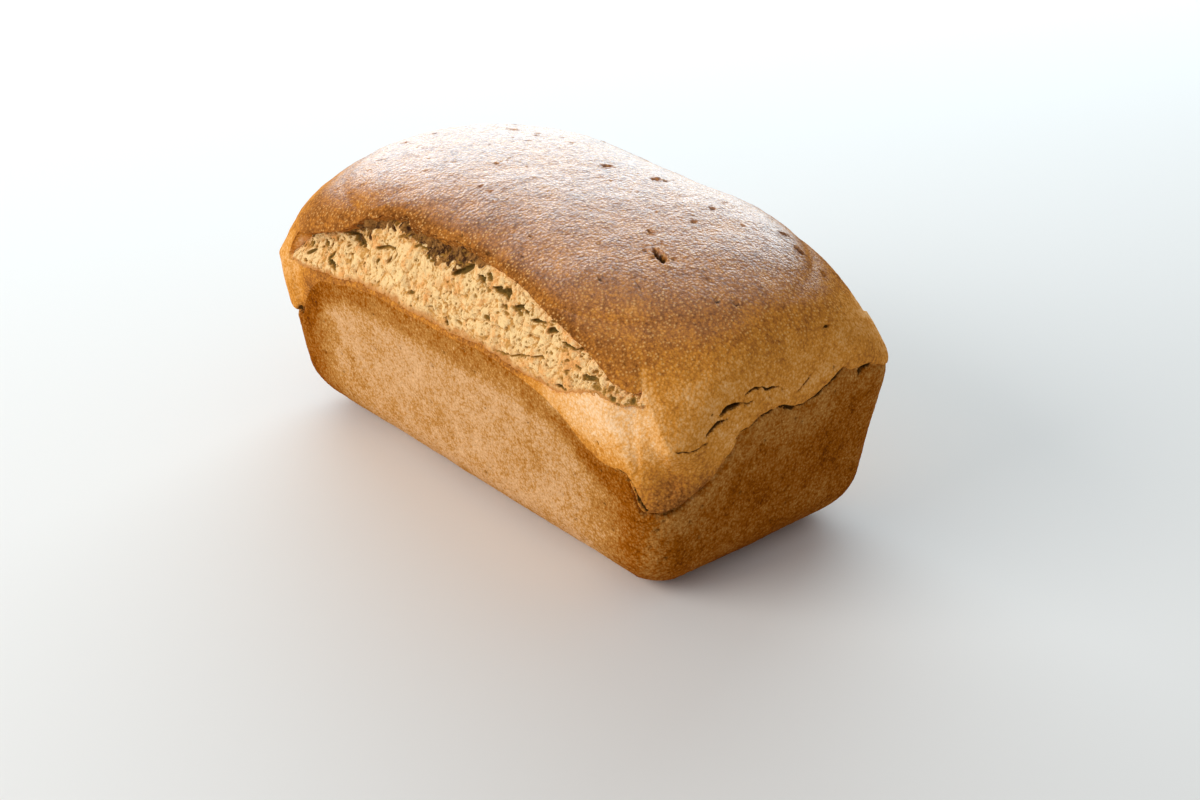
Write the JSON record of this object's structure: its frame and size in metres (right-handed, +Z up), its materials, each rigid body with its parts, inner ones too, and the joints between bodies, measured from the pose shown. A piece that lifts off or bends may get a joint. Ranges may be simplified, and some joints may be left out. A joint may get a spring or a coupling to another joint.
{
  "type": "sourdough sandwich loaf",
  "caption": "Whole tin-baked sandwich loaf with straight flared sides, a domed crown and a long torn burst under the crust along one side.",
  "frame": {"origin": "on the resting plane, under the middle of the loaf's bounding box", "axes": "+Z up; +X along the loaf; the burst runs along the -Y side"},
  "size_m": [0.2458, 0.1286, 0.1225],
  "materials": {
    "crust": "matte baked crust: grainy brown crown, golden tan sides, pale cream-gold open crumb in the burst"
  },
  "bodies": {
    "root": {"loaf": "crust"}
  },
  "joints": []
}
